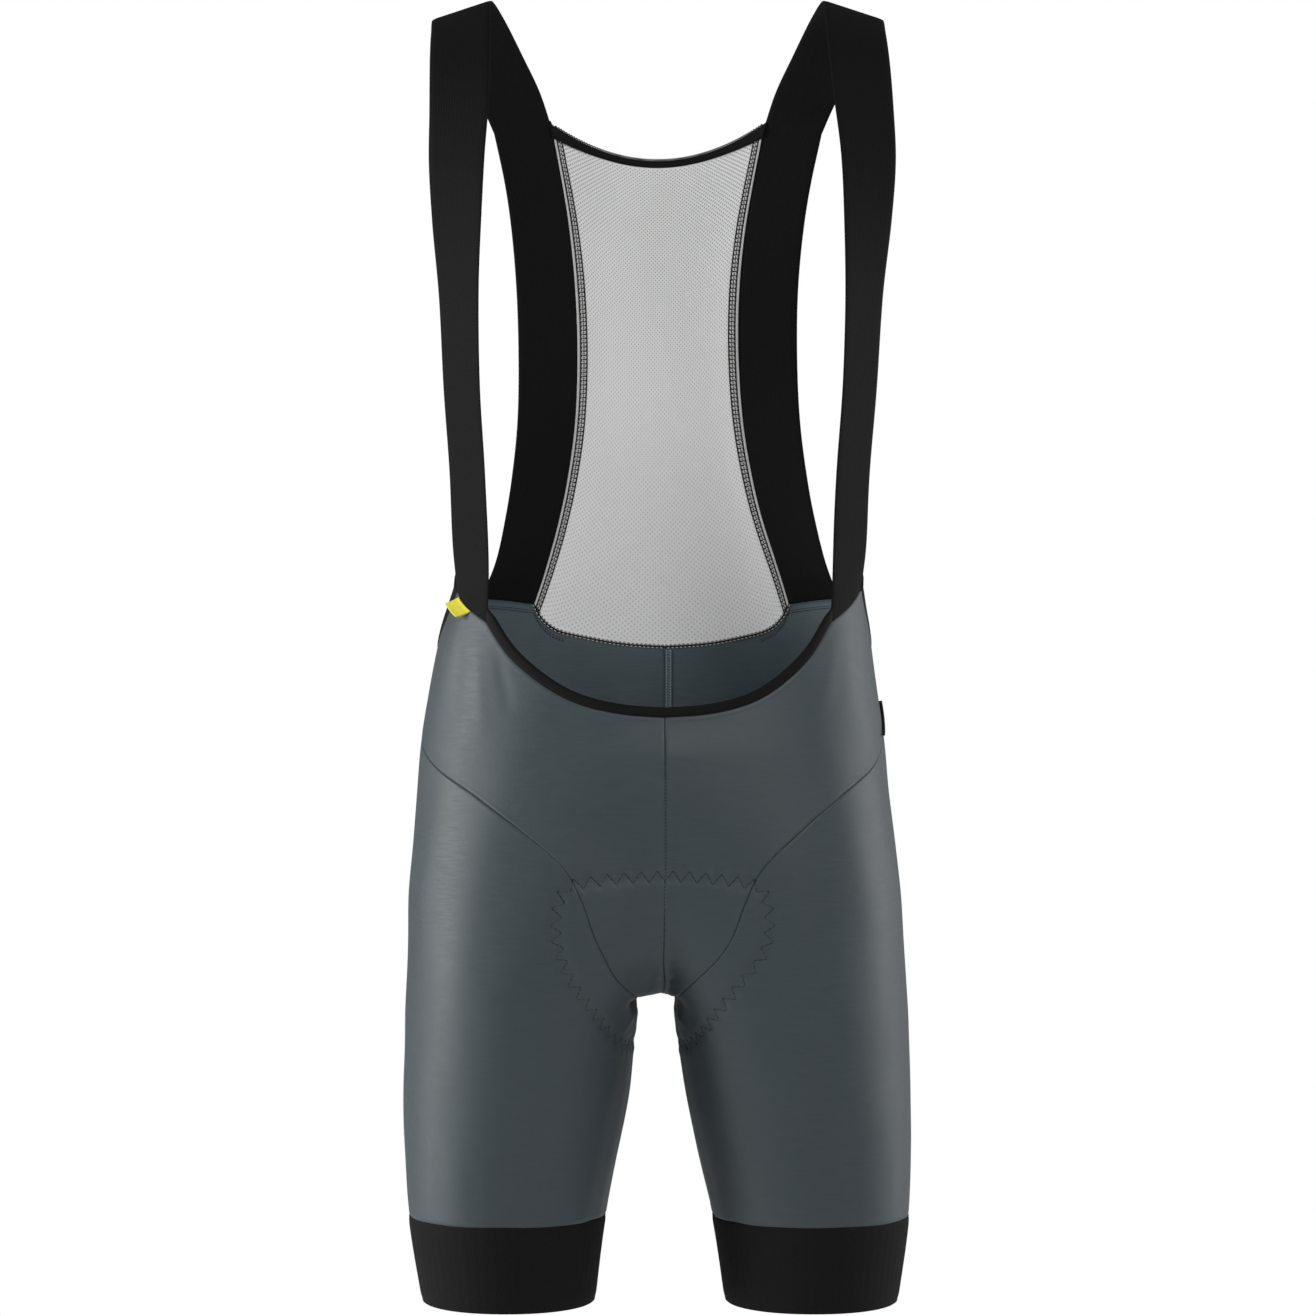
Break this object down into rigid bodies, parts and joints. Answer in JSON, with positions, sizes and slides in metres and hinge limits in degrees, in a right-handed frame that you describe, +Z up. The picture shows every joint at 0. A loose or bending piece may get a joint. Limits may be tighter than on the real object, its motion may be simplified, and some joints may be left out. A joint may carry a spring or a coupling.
{
  "type": "cycling bib shorts",
  "caption": "Worn-form cycling bib shorts with open legs and waist, leg grippers, seat pad, wide elastic shoulder straps and a mesh back between them",
  "frame": {"origin": "midway between the two shoulder straps, level with the underside of their crests, where the wearer's shoulders carry the shorts", "axes": "+Z up, along the standing wearer's body; -Y is the wearer's front; +X is the side to the right of someone looking at the front"},
  "size_m": [0.3546, 0.2416, 0.9084],
  "materials": {
    "body_knit": "slate grey warp knit with a soft satin sheen",
    "gripper": "matt black ribbed elastic band",
    "elastic": "matt black woven elastic",
    "mesh": "light grey open knit mesh",
    "binding": "black elastic edge binding and overlock",
    "pad": "brushed dark grey padded knit",
    "strap_tag": "plain yellow satin ribbon",
    "side_tag": "plain black woven ribbon"
  },
  "bodies": {
    "root": {"front_panel_left": "body_knit", "front_panel_right": "body_knit", "leg_panel_left": "body_knit", "leg_panel_right": "body_knit", "gripper_left": "gripper", "gripper_right": "gripper", "strap_left": "elastic", "strap_right": "elastic", "mesh_back": "mesh", "mesh_trim": "binding", "neck_binding": "binding", "side_binding_left": "binding", "side_binding_right": "binding", "seat_pad": "pad", "strap_tag": "strap_tag", "side_tag": "side_tag"}
  },
  "joints": []
}
